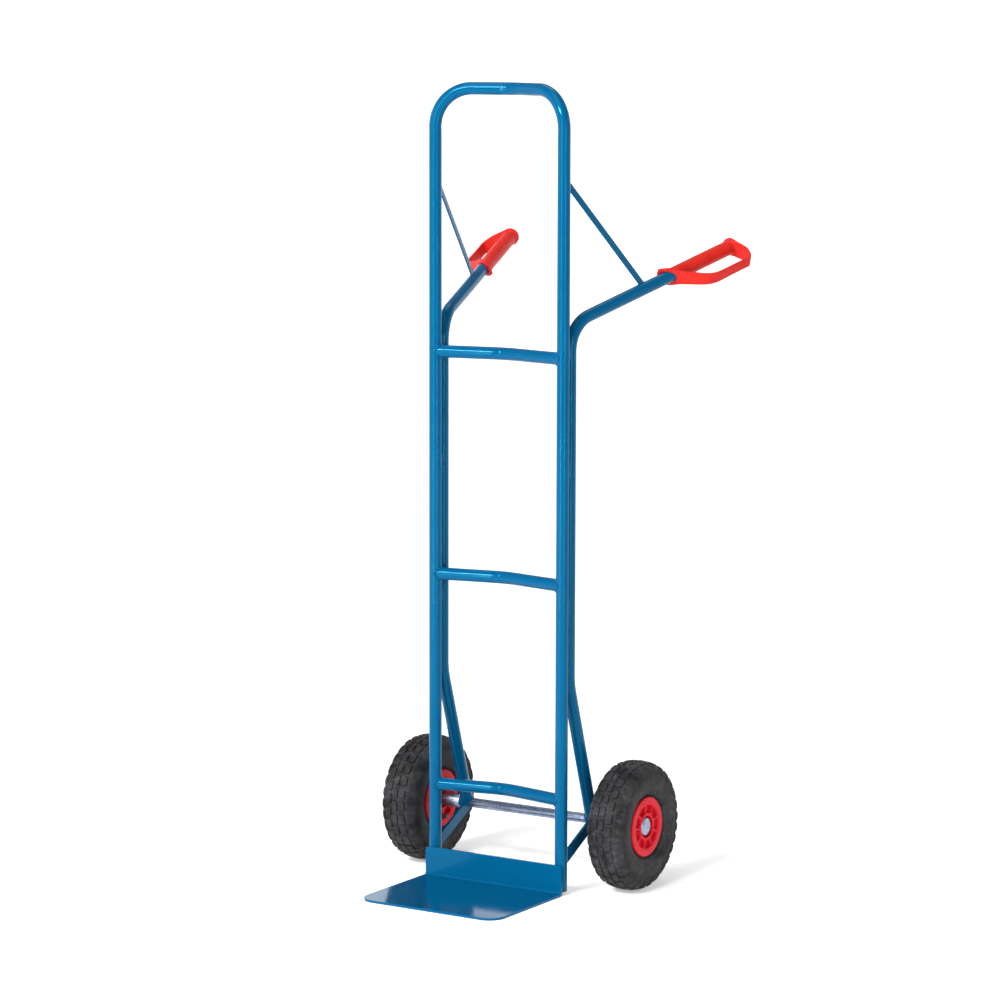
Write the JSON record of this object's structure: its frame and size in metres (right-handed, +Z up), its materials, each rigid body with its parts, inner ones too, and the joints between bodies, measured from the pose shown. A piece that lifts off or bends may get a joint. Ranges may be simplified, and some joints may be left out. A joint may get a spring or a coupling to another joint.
{
  "type": "hand truck",
  "caption": "Upright tubular hand truck: tall hoop frame with kinked crossbars, splayed handles with guarded grips, folded toe plate and pneumatic wheels on a fixed axle.",
  "frame": {"origin": "on the floor, under the middle of the truck's bounding box", "axes": "+Z up along the rails; the toe plate (load side) faces -Y, the handles and wheels +Y; X is left to right"},
  "size_m": [0.6446, 0.7319, 1.6005],
  "materials": {
    "frame_paint": "glossy powder coat",
    "grip_plastic": "moulded, semi-gloss",
    "rim_plastic": "moulded, satin",
    "tyre_rubber": "matt moulded rubber",
    "butyl": "smooth",
    "zinc": "bright zinc plate",
    "bright_steel": "ground",
    "cage_nylon": "moulded",
    "black_plastic": "moulded"
  },
  "bodies": {
    "root": {"main_hoop": "frame_paint", "crossbar_upper": "frame_paint", "crossbar_middle": "frame_paint", "crossbar_lower": "frame_paint", "handle_tube_left": "frame_paint", "handle_tube_right": "frame_paint", "handle_brace_left": "frame_paint", "handle_brace_right": "frame_paint", "axle_strut_left": "frame_paint", "axle_strut_right": "frame_paint", "toe_plate": "frame_paint", "rail_plug_left": "black_plastic", "rail_plug_right": "black_plastic", "grip_left": "grip_plastic", "grip_right": "grip_plastic", "axle": "zinc", "spacer_sleeve_left": "zinc", "washer_inner_left": "zinc", "washer_outer_left": "zinc", "axle_cap_left": "zinc", "spacer_sleeve_right": "zinc", "washer_inner_right": "zinc", "washer_outer_right": "zinc", "axle_cap_right": "zinc"},
    "wheel_left": {"tyre_left": "tyre_rubber", "inner_tube_left": "butyl", "rim_outer_left": "rim_plastic", "rim_inner_left": "rim_plastic", "valve_stem_left": "butyl", "valve_cap_left": "black_plastic", "roller_cage_left": "cage_nylon", "bearing_roller_left_1": "bright_steel", "bearing_roller_left_2": "bright_steel", "bearing_roller_left_3": "bright_steel", "bearing_roller_left_4": "bright_steel", "bearing_roller_left_5": "bright_steel", "bearing_roller_left_6": "bright_steel", "bearing_roller_left_7": "bright_steel", "bearing_roller_left_8": "bright_steel"},
    "wheel_right": {"tyre_right": "tyre_rubber", "inner_tube_right": "butyl", "rim_outer_right": "rim_plastic", "rim_inner_right": "rim_plastic", "valve_stem_right": "butyl", "valve_cap_right": "black_plastic", "roller_cage_right": "cage_nylon", "bearing_roller_right_1": "bright_steel", "bearing_roller_right_2": "bright_steel", "bearing_roller_right_3": "bright_steel", "bearing_roller_right_4": "bright_steel", "bearing_roller_right_5": "bright_steel", "bearing_roller_right_6": "bright_steel", "bearing_roller_right_7": "bright_steel", "bearing_roller_right_8": "bright_steel"}
  },
  "joints": [
    {"name": "wheel_left_spin", "type": "hinge", "parent": "root", "child": "wheel_left", "pos_m": [-0.244, 0.016, 0.13], "axis": [1, 0, 0], "continuous": true},
    {"name": "wheel_right_spin", "type": "hinge", "parent": "root", "child": "wheel_right", "pos_m": [0.244, 0.016, 0.13], "axis": [1, 0, 0], "continuous": true}
  ]
}
